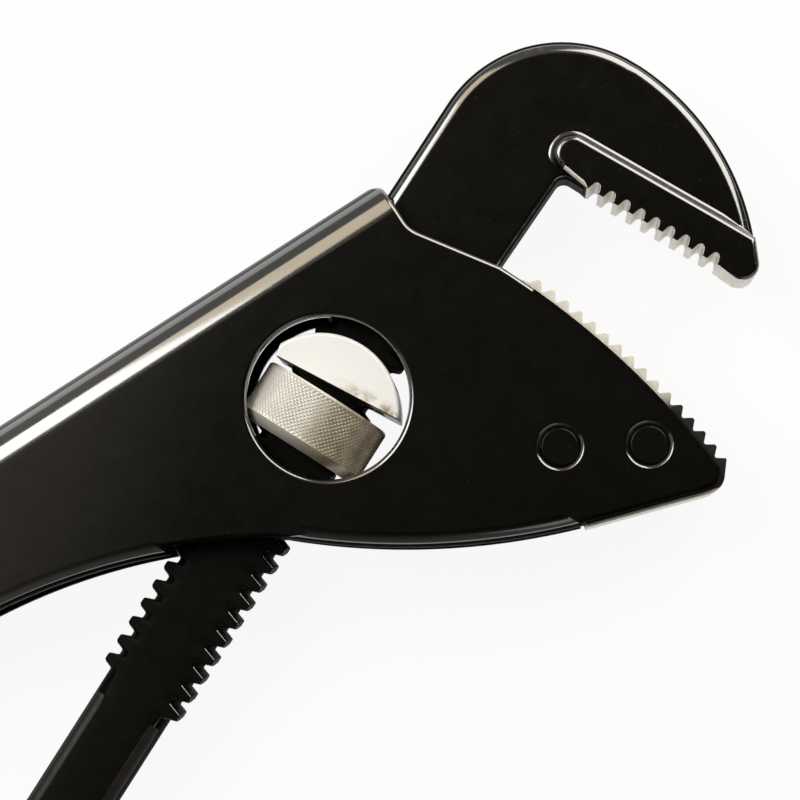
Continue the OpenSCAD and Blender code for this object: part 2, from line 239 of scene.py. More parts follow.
# Hollow between the fold and the toothed edge, the edge itself and the toe
HOLLOW_R = 5.0
HOLLOW_DROP = 2.0
HOLLOW_TURN = 34
JAW_R = 131.0
JAW_REACH = 46.2
JAW_DROP = 52.0
JAW_FROM = 24.7
JAW_C = (JAW_REACH - JAW_R, -JAW_DROP)
TOE_R = 2.4
TOE_TO = 4.4
TOE_SLOPE = 17.1
TOE_STEP = 0.8
TOE_NORMAL = -90 - TOE_SLOPE
TOE_C = polar(JAW_C, JAW_R - TOE_R, TOE_TO)
TOE_START = polar(BELLY_C, BELLY_R - TOE_STEP, BELLY_END)

# Window, saddle and rivets, each rivet with its depth below the toothed edge and its angle on it
WINDOW_R = 12.9
WINDOW_ROLL = 0.8
SADDLE_FLAT = 2.1
SADDLE_LEAN = 4.5
RIVET_R = 3.05
RIVET_PLAY = 0.05
RIVET_SEAT = 3.65
RIVETS = [polar(JAW_C, JAW_R - depth, angle) for depth, angle in ((6.3, 8.5), (16.7, 13.0))]

lever_place = Matrix.Rotation(LEVER_TURN, 4, "Z") @ Matrix.Translation((0, LEVER_OFFSET, 0))


# Pressed body: one sheet with a rolled rim, folded over the back and turned in along the belly

# Angle on the toothed edge below which its rim is rubbed dull
JAW_RUBBED = 21.9
# Steps of each kind of rim, from the outer face, that stay glossy, and the last step of the dull part
RIM_GLOSS = {"bare": 6, "lip": 4, "rubbed": 0}
RIM_DULL_TO = 10
# Steps of the fold's quarter bend, and how many of them stay glossy next to either plate
FOLD_STEPS = 10
FOLD_GLOSS = 6
FOLD_COLUMNS = 60
WINDOW_STEPS = 120
RIVET_STEPS = 48
# Radii of the rim of a bare sheet edge, on its outer and inner face, and of a lip's nose
RIM_OUT = 0.75
RIM_IN = 0.3
LIP_NOSE = 0.35


def edge_profile():
    """Rim of the bare sheet edge: (distance outward from the edge, depth below the outer face)."""
    outer = [(RIM_OUT * (math.sin(a) - 1), RIM_OUT * (1 - math.cos(a))) for a in quarter(7)]
    inner = [(RIM_IN * (math.cos(a) - 1), SHEET - RIM_IN + RIM_IN * math.sin(a)) for a in quarter(8)]
    return outer + inner


def lip_profile():
    """Rim where the sheet turns in to a lip, in the same terms, measured from the lip's outer face."""
    nose = LIP_NOSE
    deep = FACE_Z - LIP_SLOT
    bend = [(LIP_R * (math.sin(a) - 1), LIP_R * (1 - math.cos(a))) for a in quarter(7)]
    tip = [(nose * (math.cos(a) - 1), deep - nose + nose * math.sin(a)) for a in quarter(2)]
    back = [(-SHEET + nose * (1 - math.sin(a)), deep - nose + nose * math.cos(a)) for a in quarter(2)]
    turn = LIP_R - SHEET
    inner = [(-LIP_R + turn * math.cos(a), LIP_R - turn * math.sin(a)) for a in quarter(2)]
    return bend + tip + back + inner


def corner_drop(y, radius):
    """Distance that a corner rounded at the back's outer face pulls an end in at a height."""
    rise = y - (BACK_Y - radius)
    return 0.0 if rise <= 0 else radius - math.sqrt(max(0.0, radius ** 2 - rise ** 2))


def handle_end(y):
    return HANDLE_X + corner_drop(y, CORNER_R)


def fold_end(y):
    return FOLD_X - corner_drop(y, FOLD_CORNER)


def plate_boundary():
    """Outline of a side plate from the head end of the fold round the toe to the handle end of the fold,
    with the kind of rim at each point: bare and glossy, rubbed dull, or a lip."""
    belly_tip = polar(BELLY_C, BELLY_EDGE - NOTCH_W, BELLY_START)
    notch_end = math.degrees(math.atan2(belly_tip[1] - THROAT_C[1], belly_tip[0] - THROAT_C[0]))
    low_corner = (HANDLE_X + CORNER_R, FLOOR_Y + CORNER_R)
    high_corner = (HANDLE_X + CORNER_R, BACK_Y - CORNER_R)
    dip = math.degrees(math.asin((CORNER_R - NOTCH_W) / CORNER_R))
    climb = math.degrees(math.asin((BEND_Y - high_corner[1]) / CORNER_R))
    lip_stop = HANDLE_X + LIP_STOP
    edge = [(FOLD_X, BEND_Y)]
    edge += arc((FOLD_X + HOLLOW_R, BEND_Y - HOLLOW_DROP), HOLLOW_R, 180, 180 + HOLLOW_TURN, 8)
    edge += arc(JAW_C, JAW_R, JAW_FROM, JAW_RUBBED, 4)
    jaw = arc(JAW_C, JAW_R, JAW_RUBBED, TOE_TO, 22)[1:]
    jaw += arc(TOE_C, TOE_R, TOE_TO, TOE_NORMAL, 10)[1:]
    jaw += line(jaw[-1], TOE_START, 6)[1:]
    belly = arc(BELLY_C, BELLY_EDGE, BELLY_END, BELLY_START, 24)
    notch = arc(THROAT_C, THROAT_R + NOTCH_W, notch_end, NOTCH, 8)
    throat = arc(THROAT_C, THROAT_R, NOTCH, 90, 18)
    throat += line((THROAT_X, FLOOR_Y), (lip_stop, FLOOR_Y), 6)[1:]
    end = [(lip_stop - 1.0, FLOOR_Y + NOTCH_W)]
    end += arc(low_corner, CORNER_R, 180 + dip, 180, 7)
    end += arc(high_corner, CORNER_R, 180, 180 - climb, 3)
    runs = [(edge, "bare"), (jaw, "rubbed"), (belly, "lip"), (notch, "rubbed"), (throat, "lip"),
            (end, "bare")]
    return [(point, kind) for run, kind in runs for point in run]


def fold_stations():
    """Points along the fold's U, from the front plate to the back plate: centre of the bend and normal."""
    flat = FACE_Z - FOLD_R
    bend = quarter(FOLD_STEPS)
    front = [(BEND_Y, flat, math.sin(a), math.cos(a)) for a in bend]
    back = [(BEND_Y, -flat, math.sin(a), -math.cos(a)) for a in reversed(bend)]
    return front + [(BEND_Y, 0.0, 1.0, 0.0)] + back


def fold_point(station, depth):
    """Point of the fold at a depth below its outer face: (y, z)."""
    y, z, ny, nz = station
    return (y + (FOLD_R - depth) * ny, z + (FOLD_R - depth) * nz)


def build_body():
    bm = bmesh.new()
    rim = bm.verts.layers.float.new("rim")
    bare, lipped = edge_profile(), lip_profile()
    boundary = plate_boundary()
    points = [p for p, kind in boundary]
    stations = fold_stations()

    def plate_rim(side):
        rings = []
        for i, ((x, y), kind) in enumerate(boundary):
            normal = outward(points, i, 1)
            if i == 0:
                normal = Vector((1.0, 0.0))
            if i == len(points) - 1:
                normal = Vector((-1.0, 0.0))
            ring = [bm.verts.new((x + normal.x * o, y + normal.y * o, side * (FACE_Z - d)))
                    for o, d in (lipped if kind == "lip" else bare)]
            for vert in ring[2:6]:
                vert[rim] = 1.0 if kind == "bare" else 0.0
            rings.append(ring)
        return rings

    def fold_rim(station, end, sign):
        ring = []
        for o, d in bare:
            y, z = fold_point(station, d)
            ring.append(bm.verts.new((end(y) + sign * o, y, z)))
        return ring

    front, back = plate_rim(1), plate_rim(-1)
    left = [fold_rim(s, handle_end, -1) for s in stations[1:-1]]
    right = [fold_rim(s, fold_end, 1) for s in stations[1:-1]]
    glossy = [RIM_GLOSS[kind] for p, kind in boundary]
    fold_rims = [RIM_GLOSS["bare"]] * len(left)
    glossy = glossy + fold_rims + glossy[::-1] + fold_rims

    def rim_finish(i, k):
        return DULL if min(glossy[i], glossy[(i + 1) % len(glossy)]) <= k <= RIM_DULL_TO else GLOSS

    def fold_finish(i, k):
        return FACE if FOLD_GLOSS <= i < len(stations) - 1 - FOLD_GLOSS else GLOSS

    strip(bm, front + left + back[::-1] + right[::-1], True, rim_finish)

    lefts = [front[-1]] + left + [back[-1]]
    rights = [front[0]] + right + [back[0]]
    rows = {}
    for layer, index in (("outer", 0), ("inner", -1)):
        grid = []
        for ring_l, ring_r in zip(lefts, rights):
            a, b = ring_l[index], ring_r[index]
            between = [a.co.lerp(b.co, i / FOLD_COLUMNS) for i in range(1, FOLD_COLUMNS)]
            grid.append([a] + [bm.verts.new(co) for co in between] + [b])
        strip(bm, grid, False, fold_finish)
        rows[layer] = (grid[0], grid[-1])

    holes = [((0.0, 0.0), window_profile(), WINDOW_STEPS)]
    holes += [(at, rivet_profile(), RIVET_STEPS) for at in RIVETS]
    for plate, side, row in ((front, 1, 0), (back, -1, 1)):
        outer_loops = [[ring[0] for ring in plate] + rows["outer"][row][1:-1]]
        inner_loops = [[ring[-1] for ring in plate] + rows["inner"][row][1:-1]]
        for centre, profile, count in holes:
            rings = []
            for i in range(count):
                angle = 360.0 * i / count
                rings.append([bm.verts.new((*polar(centre, r, angle), side * z)) for r, z in profile])
            strip(bm, rings)
            outer_loops.append([ring[0] for ring in rings])
            inner_loops.append([ring[-1] for ring in rings])
        cap(bm, outer_loops, FACE)
        cap(bm, inner_loops, FACE)
    return bm


def window_profile():
    """Rolled rim and wall of a window: (radius, height)."""
    roll = [(WINDOW_R + WINDOW_ROLL * (1 - math.sin(a)), FACE_Z - WINDOW_ROLL * (1 - math.cos(a)))
            for a in quarter(8)]
    return roll + [(WINDOW_R, INNER_Z + 0.2), (WINDOW_R + 0.06, INNER_Z + 0.06), (WINDOW_R + 0.2, INNER_Z)]


def rivet_profile():
    """Dished seat and hole for a rivet: (radius, height)."""
    hole = RIVET_R + RIVET_PLAY
    dish = [(RIVET_SEAT + 0.25, 0.0), (RIVET_SEAT + 0.08, 0.03), (RIVET_SEAT - 0.05, 0.12),
            (hole + 0.05, 0.45), (hole, 0.55)]
    return [(radius, FACE_Z - deep) for radius, deep in dish] + [(hole, INNER_Z)]


# Hook jaw: forged head, threaded flat bar and lower handle in one piece.
# Its own frame has x along the bar and y across it.

WEB_Z = 4.0
RIB_Z = 6.0
SHOULDER = 27.0

# Teeth
TEETH_X = 50.3
TEETH_Y = -17.1
TEETH = 9
TOOTH_PITCH = 2.73
TOOTH_DEPTH = 1.6
TEETH_RISE = math.tan(math.radians(1.3))
# One side of a gullet: share of the pitch and share of the depth
GULLET_SIDE = [(0.06, 0), (0.17, 0), (0.22, 0.2), (0.27, 0.5), (0.33, 0.78), (0.42, 0.96)]

# Crown, nose and rib
CROWN_X = TEETH_X
CROWN_BACK = 21.8
CROWN_FRONT = 42.0
CROWN_BACK_C = (CROWN_X, HOOK_BACK - CROWN_BACK)
CROWN_FRONT_C = (CROWN_X + CROWN_BACK - CROWN_FRONT, HOOK_BACK - CROWN_BACK)
NOSE_R = 2.6
NOSE_FROM = -50.0
NOSE_RUN = 3.0
NOSE_END = -178
NOSE_TURN = math.radians(NOSE_FROM)
NOSE_START = polar(CROWN_FRONT_C, CROWN_FRONT, NOSE_FROM)
RIB_LAP = NOSE_FROM + 1.3
RIB_JOIN = polar(CROWN_FRONT_C, CROWN_FRONT, RIB_LAP)
RIB_END_R = 2.9
RIB_END = (CROWN_X + 3.55, -HOOK_FRONT - 0.6)

# Flares of the shank toward the head, and the fillet and land before the first tooth
NECK_FLARE = 0.75
SPINE_FLARE = 0.25
THROAT_FILLET = 1.6
LAND_STEP = 0.15
WEB_BEHIND = 0.6

# Radii of the rims of the web: shank, hidden edge behind the rib, crown and spine
WEB_RIMS = (0.9, 0.3, 2.1, 2.3)
# Radii of the rims of the rib: land, teeth, nose and brow
RIB_RIMS = (0.6, 0.2, 0.8, 0.9)
# Foot of the rib: its rim, its step outward and its spread on the web
FOOT_RIM = 0.95
FOOT_OUT = 0.12
FOOT_SPREAD = 1.05
FOOT_SINK = 0.03

# Bar, its thread and the lower handle
BAR_Z = 3.5
CREST = 8.6
ROOT = 6.3
PITCH = 3.45
CREST_FLAT = 0.6
FLANK = math.tan(math.radians(25))
FIRST_TOOTH = -15
LAST_TOOTH = 7
LEVER_X = -148.0
LEVER_END_R = ROOT + 1.2
# Rounded tip of a thread tooth: radius, half width of the rounding and slope of the flank below
TIP_R = 0.6
TIP_HALF = 0.566
TIP_SLOPE = math.tan(math.radians(20))
# Radius that turns a height on the bar's narrow edge into an angle, and heights down that edge
EDGE_R = 7.4
EDGE_LEVELS = (2.2, 1.1, 0.0)
# Depth and width of the rims along the thread, and what the plain handle's rims add to them
THREAD_RIM = (0.35, 0.5)
HANDLE_RIM = (0.75, 0.6)
# Distance past the last tooth at which the handle's rims start, and the run in which they grow
PLAIN_FROM = 1.5
PLAIN_RUN = 3.0
# Steps along the handle and along one thread pitch, and the bar's lap into the shank
HANDLE_STEPS = 40
THREAD_STEPS = 24
BAR_LAP = 1.5
# Steps down from the nearer face of the web's gloss, the land's bare steel, the teeth's paint, the handle's
# rubbed rims and the gloss along one edge of the thread
WEB_GLOSS = 3
LAND_STEEL = 5
TOOTH_PAINT = 4
HANDLE_RUBBED = 5
THREAD_GLOSS = 2


def nose_straight(run):
    """Point on the straight between the crown and the nose."""
    return (NOSE_START[0] + run * math.sin(NOSE_TURN), NOSE_START[1] - run * math.cos(NOSE_TURN))


NOSE_C = polar(nose_straight(NOSE_RUN), -NOSE_R, NOSE_FROM)


def web_outline():
    """Outline of the hook's web with the section of its rim at each point."""
    inner = TEETH_X + TOOTH_DEPTH + WEB_BEHIND
    land = TEETH_X - LAND_STEP
    low = -HOOK_FRONT - NECK_FLARE
    bend = land - THROAT_FILLET
    shank, small, crown, spine = [half_round(r, WEB_Z) for r in WEB_RIMS]
    points = [(p, shank) for p in line((SHOULDER, -HOOK_FRONT), (bend, low), 12)]
    points += [(p, shank) for p in arc((bend, low - THROAT_FILLET), THROAT_FILLET, 90, 0, 8)[1:]]
    points += [((land, TEETH_Y + 0.3), shank), ((inner, TEETH_Y), small), ((inner, NOSE_C[1]), small)]
    points += [(p, small) for p in arc(NOSE_C, NOSE_R - 0.5, -150, NOSE_FROM, 8)]
    points += [(p, crown) for p in arc(CROWN_FRONT_C, CROWN_FRONT, RIB_LAP, -2, 30)]
    points += [(p, spine) for p in arc(CROWN_BACK_C, CROWN_BACK, 0, 90, 28)]
    points += [(p, spine) for p in line((CROWN_X, HOOK_BACK), (SHOULDER, HOOK_BACK + SPINE_FLARE), 12)[1:]]
    return points


def gullets():
    """Points of the hook's teeth from the throat side to the nose: flat lands and round-topped gullets."""
    form = GULLET_SIDE + [(0.5, 1)] + [(1 - along, deep) for along, deep in reversed(GULLET_SIDE)]
    points = []
    for i in range(TEETH):
        for along, deep in form:
            s = (i + along) * TOOTH_PITCH
            points.append((TEETH_X + s * TEETH_RISE + deep * TOOTH_DEPTH, TEETH_Y - s))
    return points


def rib_outline():
    """Outline of the thick rib over the teeth with the section of its rim and the finish of its wall."""

    def foot(run):
        share = min(1.0, max(0.0, run))
        spread = FOOT_SPREAD * share ** 0.7 + 0.01
        return half_foot(FOOT_RIM, FOOT_OUT * share, spread, RIB_Z, WEB_Z - FOOT_SINK)

    end = (RIB_END[0] - RIB_END_R, RIB_END[1])
    land, tooth, nose, brow = [half_edge(r, RIB_Z) for r in RIB_RIMS]
    teeth = gullets()
    upper = line(RIB_JOIN, (RIB_END[0] + RIB_END_R, RIB_END[1]), 30)
    round_end = arc(RIB_END, RIB_END_R, 0, 180, 18)[1:-1]
    points = [(p, land, "land") for p in line(end, teeth[0], 5)[:-1]]
    points += [(p, tooth, "bare") for p in teeth]
    points += [(p, tooth, "bare") for p in line(teeth[-1], polar(NOSE_C, NOSE_R, NOSE_END), 3)[1:-1]]
    points += [(p, nose, "bare") for p in arc(NOSE_C, NOSE_R, NOSE_END, NOSE_FROM - 12, 14)]
    points += [(p, brow, "painted") for p in arc(NOSE_C, NOSE_R, NOSE_FROM - 6, NOSE_FROM, 2)]
    points += [(p, brow, "painted") for p in line(nose_straight(NOSE_RUN), NOSE_START, 3)[1:]]
    points += [(p, foot(i / 6), "painted") for i, p in enumerate(upper)]
    points += [(p, foot((155 - 10 * i) / 40), "painted") for i, p in enumerate(round_end)]
    return points


def thread_radius(x, angle):
    """Radius of the bar's narrow edge at a distance along it and an angle round it, in degrees.

    The edge on the -y side has one tooth more than the other, at the handle's end of the thread.
    """
    turn = x / PITCH - angle / 360.0
    tooth = round(turn)
    first = FIRST_TOOTH - 1 if angle > -90 else FIRST_TOOTH
    if tooth < first or tooth > LAST_TOOTH:
        return ROOT
    away = abs(turn - tooth) * PITCH
    if away < TIP_HALF:
        return CREST - TIP_R + math.sqrt(TIP_R ** 2 - away ** 2)
    drop = TIP_R - math.sqrt(TIP_R ** 2 - TIP_HALF ** 2) + (away - TIP_HALF) / TIP_SLOPE
    return max(ROOT, CREST - drop)


def bar_ring(x):
    """Section of the bar across its length: (y, z) points round it. The plain handle has rounder rims."""
    plain = min(1.0, max(0.0, ((FIRST_TOOTH - 1) * PITCH - PLAIN_FROM - x) / PLAIN_RUN))
    deep, wide = [rim + more * plain for rim, more in zip(THREAD_RIM, HANDLE_RIM)]
    rims = [(BAR_Z - deep * (1 - math.cos(a)), wide * (1 - math.sin(a))) for a in quarter(5)]
    rims += [(z, 0.0) for z in EDGE_LEVELS]
    levels = rims + [(-z, r) for z, r in rims[-2::-1]]
    reach = LEVER_END_R
    tip = LEVER_X + LEVER_END_R - x
    if tip > 0:
        reach = math.sqrt(max(0.01, LEVER_END_R ** 2 - tip ** 2))
    ring = []
    for side, start, edge in ((1, -180, levels), (-1, 0, levels[::-1])):
        for z, pull in edge:
            r = thread_radius(x, start + math.degrees(math.asin(side * z / EDGE_R)))
            ring.append((side * min(math.sqrt(r * r - z * z) - pull, reach), z))
        half = ring[-1][0]
        ring += [(half * k, -side * BAR_Z) for k in (0.5, 0.0, -0.5)]
    return ring


def build_hook():
    bm = bmesh.new()
    bm.verts.layers.float.new("rim")
    web = web_outline()
    rib = rib_outline()

    def web_finish(i, depth):
        return DULL if depth >= WEB_GLOSS else GLOSS

    def rib_finish(i, depth):
        kind = rib[i][2]
        if kind == "land":
            return STEEL if depth < LAND_STEEL else DULL
        return STEEL if kind == "bare" and depth >= TOOTH_PAINT else GLOSS

    prism(bm, [p for p, half in web], [half for p, half in web], web_finish)
    prism(bm, [p for p, half, kind in rib], [half for p, half, kind in rib], rib_finish)

    xs = [LEVER_X + LEVER_END_R * (1 - math.cos(a)) for a in quarter(15)]
    round_end = LEVER_X + LEVER_END_R
    start = (FIRST_TOOTH - 2) * PITCH
    xs += [round_end + (start - round_end) * i / HANDLE_STEPS for i in range(1, HANDLE_STEPS)]
    fine = PITCH / THREAD_STEPS
    xs += [start + fine * i for i in range(int((SHOULDER + BAR_LAP - start) / fine))]
    rings = [[bm.verts.new((x, y, z)) for y, z in bar_ring(x)] for x in xs]
    levels = len(rings[0]) // 2 - 3

    def bar_finish(i, k):
        step = k % (levels + 3)
        if step >= levels - 1:
            return FACE
        if xs[i] < start:
            return DULL if HANDLE_RUBBED <= step < levels - 1 - HANDLE_RUBBED else RUBBED
        return DULL if k < levels or THREAD_GLOSS <= step < levels - 1 - THREAD_GLOSS else GLOSS

    strip(bm, [ring + ring[:1] for ring in rings], False, bar_finish)
    cap(bm, [rings[0]], DULL)
    cap(bm, [rings[-1]], DULL)
    return bm


# Adjusting nut: a knurled ring with an inner thread, in the hook's frame

NUT_R = 11.0
NUT_TOP = 0.4
NUT_LOW = NUT_TOP - 9.8
NUT_CHAMFER = 1.5
NUT_EDGE = 0.4
NUT_BORE = CREST + 0.3
RIDGE_BASE = NUT_BORE + 0.7
RIDGE_CREST = math.hypot(ROOT, BAR_Z)
THREAD_PLAY = 0.25
KNURLS = 88
KNURL_DEPTH = 0.12
# Depth of the knurl at its first and last row, as a share of the full depth
KNURL_RUNOUT = 0.55
# Darkening of the chamfer's edge, where a dip of the knurl counts as 1
CHAMFER_DARKENING = 2.5
BORE_BEVEL = 0.25
# Steps of the inner thread's ridge and its distance from the nut's faces
RIDGE_STEPS = 120
RIDGE_INSET = 0.5


def ring_point(x, radius, angle):
    a = math.radians(angle)
    return (x, -radius * math.cos(a), -radius * math.sin(a))


def build_nut():
    bm = bmesh.new()
    dip = bm.verts.layers.float.new("dip")
    count = 2 * KNURLS
    low, high = NUT_LOW + NUT_CHAMFER, NUT_TOP - NUT_EDGE
    rows = 2 * round((high - low) / (2 * math.pi * NUT_R / KNURLS))

    def circles(sections):
        return [[bm.verts.new(ring_point(x, r, 360 * i / count)) for i in range(count)] for x, r in sections]

    lower = circles([(NUT_LOW, NUT_BORE + BORE_BEVEL), (NUT_LOW, NUT_R - NUT_CHAMFER - 0.05),
                     (NUT_LOW + 0.06, NUT_R - NUT_CHAMFER + 0.05)])
    for vert in lower[-1]:
        vert[dip] = CHAMFER_DARKENING
    lower += circles([(low - 0.03, NUT_R - KNURL_DEPTH)])
    grid = []
    for j in range(rows + 1):
        x = low + (high - low) * j / rows
        valley = NUT_R - KNURL_DEPTH * (KNURL_RUNOUT if j in (0, rows) else 1.0)
        ring = []
        for i in range(count):
            peak = (i + j) % 2 == 1
            vert = bm.verts.new(ring_point(x, NUT_R if peak else valley, 360 * i / count))
            vert[dip] = 0.0 if peak else 1.0
            ring.append(vert)
        grid.append(ring)
    upper = circles([(NUT_TOP - 0.05, NUT_R - NUT_EDGE + 0.06), (NUT_TOP, NUT_R - NUT_EDGE - 0.06),
                     (NUT_TOP, NUT_BORE + BORE_BEVEL), (NUT_TOP - BORE_BEVEL, NUT_BORE),
                     (NUT_LOW + BORE_BEVEL, NUT_BORE)])
    rings = lower + grid + upper
    for j, ring in enumerate(rings):
        other = rings[(j + 1) % len(rings)]
        knurl = len(lower) <= j < len(lower) + rows
        for i in range(count):
            k = (i + 1) % count
            if not knurl:
                bm.faces.new([ring[i], other[i], other[k], ring[k]])
            elif (i + j - len(lower)) % 2 == 0:
                bm.faces.new([ring[i], other[i], other[k]])
                bm.faces.new([ring[i], other[k], ring[k]])
            else:
                bm.faces.new([ring[i], other[i], ring[k]])
                bm.faces.new([other[i], other[k], ring[k]])

    def half_gap(radius):
        return (PITCH - CREST_FLAT - 2 * (CREST - radius) * FLANK) / 2 - THREAD_PLAY

    tip, bore = max(0.1, half_gap(ROOT)), half_gap(math.sqrt(NUT_BORE ** 2 - BAR_Z ** 2))
    base = tip + (bore - tip) * (RIDGE_BASE - RIDGE_CREST) / (NUT_BORE - RIDGE_CREST)
    middle = -0.5 * PITCH
    first = (NUT_LOW + base + RIDGE_INSET - middle) / PITCH * 360
    last = (NUT_TOP - base - RIDGE_INSET - middle) / PITCH * 360
    turns = []
    for i in range(RIDGE_STEPS + 1):
        a = first + (last - first) * i / RIDGE_STEPS
        x = middle + PITCH * a / 360
        turns.append([bm.verts.new(ring_point(x + dx, r, a)) for dx, r in
                      ((-base, RIDGE_BASE), (-tip, RIDGE_CREST), (tip, RIDGE_CREST), (base, RIDGE_BASE))])
    strip(bm, [ring + ring[:1] for ring in turns], closed=False)
    bm.faces.new(turns[0])
    bm.faces.new(turns[-1])
    return bm


# Materials

PAINT_DARK = (0.0026, 0.0024, 0.0017)
PAINT_PALE = (0.0036, 0.0034, 0.0025)
# Colour of the painted sheen toward the handle's end
PAINT_SHEEN = (0.019, 0.0172, 0.0135)
PAINT_DUST = (0.13, 0.12, 0.095)
PAINT_THIN = (0.16, 0.14, 0.105)
# Direction in which a painted sheen pales the paint toward the handle's end and back, and where that starts
# and ends
SHEEN_WAY = (-0.6, 0.8, 0)
SHEEN_FROM = 10.0
SHEEN_TO = 46.0


def colour_ramp(nodes, links, value, stops):
    """Colours, or greys from one number, at places between 0 and 1."""
    node = nodes.new("ShaderNodeValToRGB")
    points = node.color_ramp.elements
    while len(points) < len(stops):
        points.new(0.5)
    for point, (at, colour) in zip(points, stops):
        point.position = at
        point.color = (*colour, 1) if isinstance(colour, tuple) else (colour, colour, colour, 1)
    links.new(value, node.inputs["Fac"])
    return node.outputs["Color"]


class Tree:
    """Short hand for building a material's nodes. Object coordinates are turned into millimetres."""

    def __init__(self, name):
        self.material = bpy.data.materials.new(name)
        self.material.use_nodes = True
        self.nodes = self.material.node_tree.nodes
        self.links = self.material.node_tree.links
        self.shader = self.nodes["Principled BSDF"]
        where = self.nodes.new("ShaderNodeTexCoord")
        scale = self.nodes.new("ShaderNodeVectorMath")
        scale.operation = "SCALE"
        scale.inputs["Scale"].default_value = 1000.0
        self.links.new(where.outputs["Object"], scale.inputs[0])
        self.place = scale.outputs["Vector"]

    def noise(self, scale, detail=3.0, rough=0.55, stretch=None):
        node = self.nodes.new("ShaderNodeTexNoise")
        node.inputs["Scale"].default_value = scale
        node.inputs["Detail"].default_value = detail
        node.inputs["Roughness"].default_value = rough
        source = self.place
        if stretch:
            turn = self.nodes.new("ShaderNodeMapping")
            turn.inputs["Rotation"].default_value = (0, 0, stretch[0])
            turn.inputs["Scale"].default_value = stretch[1:]
            self.links.new(source, turn.inputs["Vector"])
            source = turn.outputs["Vector"]
        self.links.new(source, node.inputs["Vector"])
        return node.outputs["Fac"]

    def ramp(self, value, stops):
        return colour_ramp(self.nodes, self.links, value, stops)

    def mix(self, factor, a, b):
        node = self.nodes.new("ShaderNodeMix")
        node.data_type = "RGBA"
        for socket, value in ((node.inputs[0], factor), (node.inputs[6], a), (node.inputs[7], b)):
            if isinstance(value, tuple):
                socket.default_value = (*value, 1)
            else:
                self.links.new(value, socket)
        return node.outputs[2]

    def times(self, a, b):
        node = self.nodes.new("ShaderNodeMath")
        node.operation = "MULTIPLY"
        for socket, value in zip(node.inputs, (a, b)):
            if isinstance(value, float):
                socket.default_value = value
            else:
                self.links.new(value, socket)
        return node.outputs[0]

    def mark(self, name):
        """Value painted on the mesh's points under a name."""
        node = self.nodes.new("ShaderNodeAttribute")
        node.attribute_name = name
        return node.outputs["Fac"]

    def along(self, direction, low, high):
        """Rises from 0 to 1 between two distances along a direction, in millimetres."""
        dot = self.nodes.new("ShaderNodeVectorMath")
        dot.operation = "DOT_PRODUCT"
        dot.inputs[1].default_value = direction
        self.links.new(self.place, dot.inputs[0])
        node = self.nodes.new("ShaderNodeMapRange")
        node.interpolation_type = "SMOOTHSTEP"
        node.inputs["From Min"].default_value = low
        node.inputs["From Max"].default_value = high
        self.links.new(dot.outputs["Value"], node.inputs["Value"])
        return node.outputs["Result"]

    def bump(self, height, strength, distance, after=None):
        node = self.nodes.new("ShaderNodeBump")
        node.inputs["Strength"].default_value = strength
        node.inputs["Distance"].default_value = distance * MM
        self.links.new(height, node.inputs["Height"])
        if after is not None:
            self.links.new(after, node.inputs["Normal"])
        return node.outputs["Normal"]

    def set(self, socket, value):
        target = self.shader.inputs[socket]
        if isinstance(value, float):
            target.default_value = value
        else:
            self.links.new(value, target)


def paint_skin(t):
    """Colour and surface of the paint: slow shade, painted sheen toward the handle, dust, rubbed rims,
    chips.
    """
    tone = t.ramp(t.noise(0.035, 4.0, 0.6), [(0.35, PAINT_DARK), (0.7, PAINT_PALE)])
    # Painted sheen: the paint is paler toward the handle's end and back.
    tone = t.mix(t.along(SHEEN_WAY, SHEEN_FROM, SHEEN_TO), tone, PAINT_SHEEN)
    dust = t.ramp(t.noise(2.6, 2.0, 0.7), [(0.71, 0.0), (0.76, 1.0)])
    tone = t.mix(t.times(dust, 0.36), tone, PAINT_DUST)
    worn = t.times(t.mark("rim"), t.ramp(t.noise(0.7, 4.0, 0.7), [(0.52, 0.0), (0.62, 1.0)]))
    tone = t.mix(t.times(worn, 0.3), tone, PAINT_THIN)
    t.set("Base Color", tone)
    chips = t.ramp(t.noise(0.9, 5.0, 0.65), [(0.69, 0.0), (0.71, 1.0)])
    peel = t.bump(t.noise(1.6, 2.0, 0.5), 0.12, 0.04)
    t.set("Normal", t.bump(chips, 0.2, 0.05, peel))


def black_paint():
    """Gloss paint on the folds, bends and rims."""
    t = Tree("black_paint_looks")
    paint_skin(t)
    t.set("Roughness", t.ramp(t.noise(0.3, 5.0, 0.6), [(0.3, 0.13), (0.7, 0.16)]))
    t.set("Specular IOR Level", 1.0)
    t.set("Coat Weight", 1.0)
    t.set("Coat IOR", 2.0)
    t.set("Coat Roughness", 0.1)
    return t.material


def face_paint():
    """The same paint on the flat faces, where handling has left it satin."""
    t = Tree("black_paint_face_looks")
    paint_skin(t)
    t.set("Roughness", t.ramp(t.noise(0.3, 5.0, 0.6), [(0.3, 0.25), (0.7, 0.31)]))
    t.set("Specular IOR Level", 0.2)
    return t.material


def dull_paint():
    """The same paint where it is thin and greasy, on the sheet's edges and the thread."""
    t = Tree("black_paint_dull_looks")
    thin, thick = (0.0022, 0.002, 0.0015), (0.0045, 0.004, 0.003)
    t.set("Base Color", t.ramp(t.noise(0.5, 4.0, 0.6), [(0.35, thin), (0.7, thick)]))
    t.set("Roughness", t.ramp(t.noise(0.8, 4.0, 0.6), [(0.3, 0.4), (0.7, 0.55)]))
    t.set("Normal", t.bump(t.noise(1.6, 3.0, 0.5), 0.2, 0.06))
    t.set("Specular IOR Level", 0.01)
    return t.material


